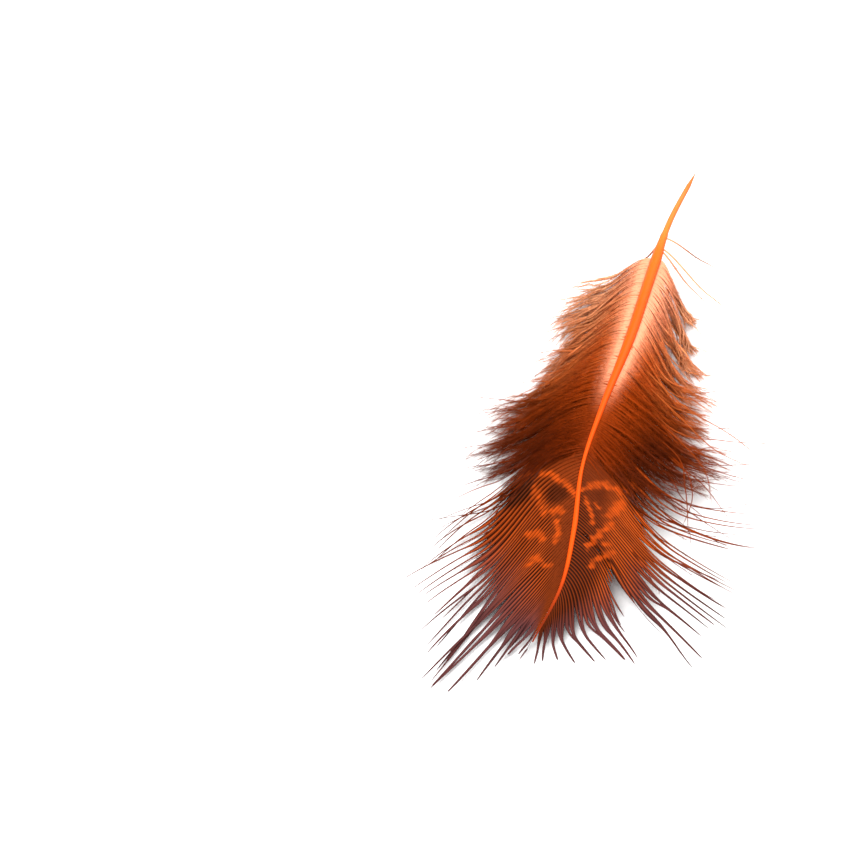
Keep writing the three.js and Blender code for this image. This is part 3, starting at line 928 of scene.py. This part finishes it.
def make_strands(name, side, material):
    count = STRANDS[side]
    stations = rng.uniform(*STRAND_STATIONS, count)
    station, angle, bend, dip, length, tip = guide_facts(side, stations)
    angle = angle + rng.uniform(-STRAND_ANGLE_SPREAD, STRAND_ANGLE_SPREAD, count)
    bend = bend + rng.uniform(-STRAND_BEND_SPREAD, STRAND_BEND_SPREAD, count)
    length = np.minimum(length * rng.uniform(*STRAND_REACHES[side], count), LONGEST_STRAND)
    tip = tip + rng.uniform(0, STRAND_LIFT, count)
    paths = strand_paths(side, [station, angle, bend, dip, length, tip])
    if side > 0:
        stations = np.concatenate([stations, [root * MM for root, _ in TANGLED_STRANDS]])
        paths = np.concatenate([paths, [traced_path(*strand) for strand in TANGLED_STRANDS]])
    heap = Heap()
    darkness = STRAND_DARKNESS * smoothstep(*DARK_STRAND_STATIONS, stations)
    darkness = darkness * rng.uniform(0, 1, len(stations))
    add_strands(heap, side, stations, paths, STRAND_HALF_WIDTH, darkness)
    return heap.make(name, material)


def make_shaft(name, material):
    """The quill and shaft: a rounded rod with a low collar where the horn turns to colour."""
    stations = np.concatenate([np.linspace(*rings) for rings in SHAFT_RINGS])
    middle, along, across = shaft_at(stations)
    half_widths = value_at(SHAFT_HALF_WIDTHS, stations)
    collar = np.exp(-(((stations - COLLAR_STATION) / (COLLAR_LENGTH / 2)) ** 2))
    half_widths = half_widths + COLLAR_RISE * collar
    corners = np.arange(SHAFT_CORNERS)
    turns = 2 * np.pi * corners / SHAFT_CORNERS
    right = np.sin(turns) * half_widths[:, None]
    up = np.cos(turns) * half_widths[:, None] * SHAFT_FLATNESS
    rings = middle[:, None] + across[:, None] * right[..., None] + UP * up[..., None]
    half = SHAFT_CORNERS // 2
    station_shares = np.repeat(stations[:, None], SHAFT_CORNERS, 1) / SHAFT_LENGTH
    around = np.broadcast_to(np.abs(corners - half) / half, up.shape)
    # How far each corner faces up. The shaft's material uses it to paint shade on the rod's sides and
    # underside.
    top = np.broadcast_to(np.cos(turns), up.shape)
    along_start, along_extent = SHAFT_MAP_ALONG
    around_start, around_extent = SHAFT_MAP_ACROSS
    uv = np.stack([along_start + along_extent * station_shares, around_start + around_extent * around], -1)
    heap = Heap()
    add_tubes(heap, rings[None], uv, {"station": station_shares, "top": top})
    return heap.make(name, material)


def linear(red, green, blue):
    """A colour as screens write it, 0 to 255, in linear light."""
    channels = np.array([red, green, blue]) / 255
    straight = np.where(channels <= 0.04045, channels / 12.92, ((channels + 0.055) / 1.055) ** 2.4)
    return (*straight.tolist(), 1.0)


PALE_ROOT = linear(243, 162, 124)
BRIGHT_MARK = linear(184, 70, 14)


class Nodes:
    """A material's node tree, with short ways to add the nodes that the feather's materials share."""

    def __init__(self, name):
        self.material = bpy.data.materials.new(name)
        self.material.use_nodes = True
        self.tree = self.material.node_tree
        self.shader = self.tree.nodes["Principled BSDF"]

    def link(self, output, socket):
        self.tree.links.new(output, socket)

    def fill(self, socket, value):
        if isinstance(value, bpy.types.NodeSocket):
            self.link(value, socket)
        else:
            socket.default_value = value

    def value(self, attribute):
        node = self.tree.nodes.new("ShaderNodeAttribute")
        node.attribute_name = attribute
        return node.outputs["Fac"]

    def ramp(self, factor, stops):
        node = self.tree.nodes.new("ShaderNodeValToRGB")
        while len(node.color_ramp.elements) < len(stops):
            node.color_ramp.elements.new(1.0)
        for element, (position, colour) in zip(node.color_ramp.elements, stops):
            element.position = position
            element.color = colour
        self.link(factor, node.inputs["Fac"])
        return node.outputs["Color"]

    def mix(self, factor, first, second, blend="MIX"):
        node = self.tree.nodes.new("ShaderNodeMix")
        node.data_type = "RGBA"
        node.blend_type = blend
        sockets = (node.inputs[0], node.inputs[6], node.inputs[7])
        for socket, value in zip(sockets, (factor, first, second)):
            self.fill(socket, value)
        return node.outputs[2]

    def math(self, operation, first, second):
        node = self.tree.nodes.new("ShaderNodeMath")
        node.operation = operation
        for socket, value in zip(node.inputs, (first, second)):
            self.fill(socket, value)
        return node.outputs[0]

    def noise(self, scale, detail=3.0):
        place = self.tree.nodes.new("ShaderNodeTexCoord")
        node = self.tree.nodes.new("ShaderNodeTexNoise")
        node.inputs["Scale"].default_value = scale
        node.inputs["Detail"].default_value = detail
        self.link(place.outputs["Object"], node.inputs["Vector"])
        return node.outputs["Fac"]

    def spread(self, value, low, high):
        node = self.tree.nodes.new("ShaderNodeMapRange")
        node.inputs["To Min"].default_value = low
        node.inputs["To Max"].default_value = high
        self.link(value, node.inputs["Value"])
        return node.outputs[0]

    def bump(self, height, strength, distance):
        node = self.tree.nodes.new("ShaderNodeBump")
        node.inputs["Strength"].default_value = strength
        node.inputs["Distance"].default_value = distance
        self.link(height, node.inputs["Height"])
        self.link(node.outputs["Normal"], self.shader.inputs["Normal"])


def shade(nodes, colour, low, high):
    """Varies a colour by each barb's tone and by fine mottling."""
    tone = nodes.spread(nodes.value("tone"), low, high)
    mottled = nodes.spread(nodes.noise(scale=900), low=0.8, high=1.2)
    strength = nodes.math("MULTIPLY", tone, mottled)
    grey = nodes.tree.nodes.new("ShaderNodeCombineColor")
    for socket in grey.inputs[:3]:
        nodes.link(strength, socket)
    return nodes.mix(1.0, colour, grey.outputs["Color"], "MULTIPLY")


def barb_material(name, bodies, ridge, tips, dark):
    """Barbs: body and tip colours along the feather, ridge and dark colours, pale roots, bright marks."""
    nodes = Nodes(name)
    colour = nodes.ramp(nodes.value("station"), along_feather(bodies))
    colour = nodes.mix(nodes.value("dark"), colour, dark)
    colour = nodes.mix(nodes.value("ridge"), colour, ridge)
    tip_colour = nodes.ramp(nodes.value("station"), along_feather(tips))
    colour = nodes.mix(nodes.value("tip"), colour, tip_colour)
    colour = nodes.mix(nodes.value("mark"), colour, BRIGHT_MARK)
    colour = shade(nodes, colour, low=0.72, high=1.28)
    colour = nodes.mix(nodes.value("pale"), colour, PALE_ROOT)
    nodes.link(colour, nodes.shader.inputs["Base Color"])
    roughness = nodes.spread(nodes.noise(scale=400), low=0.5, high=0.75)
    nodes.link(roughness, nodes.shader.inputs["Roughness"])
    nodes.shader.inputs["Specular IOR Level"].default_value = 0.03
    return nodes.material


def along_feather(stops):
    """Colour stops at stations in millimetres, as shares of the shaft's length."""
    return [(station * MM / SHAFT_LENGTH, linear(*colour)) for station, colour in stops]


def shaft_material():
    nodes = Nodes("shaft_horn")
    colours = [
        (0, (225, 110, 40)),
        (6, (232, 132, 62)),
        (14, (236, 130, 48)),
        (19, (234, 108, 22)),
        (30, (230, 90, 8)),
        (50, (226, 80, 5)),
        (70, (225, 80, 5)),
        (74, (160, 52, 5)),
        (78, (82, 27, 5)),
        (82, (52, 18, 6)),
    ]
    colour = nodes.ramp(nodes.value("station"), along_feather(colours))
    streaks = nodes.spread(nodes.noise(scale=1500, detail=5), low=0, high=0.35)
    colour = nodes.mix(streaks, colour, linear(225, 75, 8))
    # Painted shade: the shaft's sides and underside are darkened towards a deep orange by how far they
    # turn from the top, so the top reads lighter, as light from above would make it.
    sides = nodes.spread(nodes.value("top"), low=0.8, high=0)
    colour = nodes.mix(sides, colour, linear(185, 52, 4))
    nodes.link(colour, nodes.shader.inputs["Base Color"])
    roughness = nodes.spread(nodes.noise(scale=700), low=0.3, high=0.5)
    nodes.link(roughness, nodes.shader.inputs["Roughness"])
    nodes.bump(nodes.noise(scale=2500), strength=0.15, distance=0.02 * MM)
    nodes.shader.inputs["Specular IOR Level"].default_value = 0.08
    return nodes.material


def down_material():
    bodies = [
        (20, (236, 174, 132)),
        (28, (217, 137, 88)),
        (36, (192, 98, 44)),
        (44, (140, 54, 8)),
        (52, (100, 32, 2)),
        (57, (92, 30, 3)),
    ]
    tips = [(20, (212, 150, 112)), (36, (190, 122, 88)), (46, (140, 84, 64)), (54, (104, 58, 46))]
    return barb_material("down_barbs", bodies, linear(188, 70, 10), tips, linear(82, 30, 10))


def vane_material():
    bodies = [
        (51, (110, 38, 5)),
        (56, (82, 28, 5)),
        (60, (54, 18, 5)),
        (66, (36, 12, 5)),
        (80, (36, 12, 6)),
    ]
    tips = [(51, (125, 60, 40)), (60, (86, 46, 44)), (80, (88, 50, 50))]
    return barb_material("vane_barbs", bodies, linear(196, 80, 20), tips, linear(32, 10, 3))


def floor_material():
    nodes = Nodes("floor_white")
    colour = nodes.mix(nodes.noise(scale=30), (0.93, 0.93, 0.93, 1), (0.95, 0.95, 0.95, 1))
    nodes.link(colour, nodes.shader.inputs["Base Color"])
    nodes.shader.inputs["Roughness"].default_value = 0.9
    return nodes.material


def make_feather():
    down = down_material()
    vane = vane_material()
    make_shaft("shaft", shaft_material())
    barbs = [make_loose_barbs("loose_barbs", down)]
    for side_name, side in (("left", -1), ("right", 1)):
        for layer in DOWN_LAYERS:
            barbs.append(make_down(f"{side_name}_{layer}", side, layer, down))
        barbs.append(make_strands(f"{side_name}_strands", side, down))
        barbs.append(make_vane(f"{side_name}_vane", side, vane))


def make_floor():
    corners = [(x * FLOOR_HALF, y * FLOOR_HALF, 0) for x, y in ((-1, -1), (1, -1), (1, 1), (-1, 1))]
    mesh = bpy.data.meshes.new("floor")
    mesh.from_pydata(corners, [], [(0, 1, 2, 3)])
    mesh.materials.append(floor_material())
    floor = bpy.data.objects.new("floor", mesh)
    bpy.context.scene.collection.objects.link(floor)


def make_lamp(name, azimuth, elevation, power):
    data = bpy.data.lights.new(name, "AREA")
    data.shape = "DISK"
    data.size = LAMP_SIZE
    data.energy = power
    lamp = bpy.data.objects.new(name, data)
    back = direction(math.radians(azimuth), math.radians(elevation))
    lamp.location = back * LAMP_DISTANCE
    lamp.rotation_mode = "QUATERNION"
    lamp.rotation_quaternion = back.to_track_quat("Z", "Y")
    bpy.context.scene.collection.objects.link(lamp)


def direction(azimuth, elevation):
    level = math.cos(elevation)
    return Vector((math.sin(azimuth) * level, -math.cos(azimuth) * level, math.sin(elevation)))


def make_lights():
    world = bpy.data.worlds.new("studio")
    world.use_nodes = True
    sky = world.node_tree.nodes["Background"]
    sky.inputs["Color"].default_value = (1, 1, 1, 1)
    sky.inputs["Strength"].default_value = SKY_STRENGTH
    bpy.context.scene.world = world
    for name, facts in LAMPS.items():
        make_lamp(name, **facts)
    bpy.context.scene.view_settings.view_transform = "Standard"


def make_camera():
    data = bpy.data.cameras.new("camera")
    data.sensor_width = SENSOR_WIDTH
    data.lens = SENSOR_WIDTH * CAMERA_DISTANCE / FRAMED_WIDTH
    data.clip_start = CAMERA_NEAR
    camera = bpy.data.objects.new("camera", data)
    back = direction(CAMERA_AZIMUTH, CAMERA_ELEVATION)
    camera.location = Vector(TO_PART) + CAMERA_AIM + back * CAMERA_DISTANCE
    camera.rotation_mode = "QUATERNION"
    camera.rotation_quaternion = back.to_track_quat("Z", "Y")
    bpy.context.scene.collection.objects.link(camera)
    bpy.context.scene.camera = camera


make_camera()
make_lights()
make_floor()
make_feather()
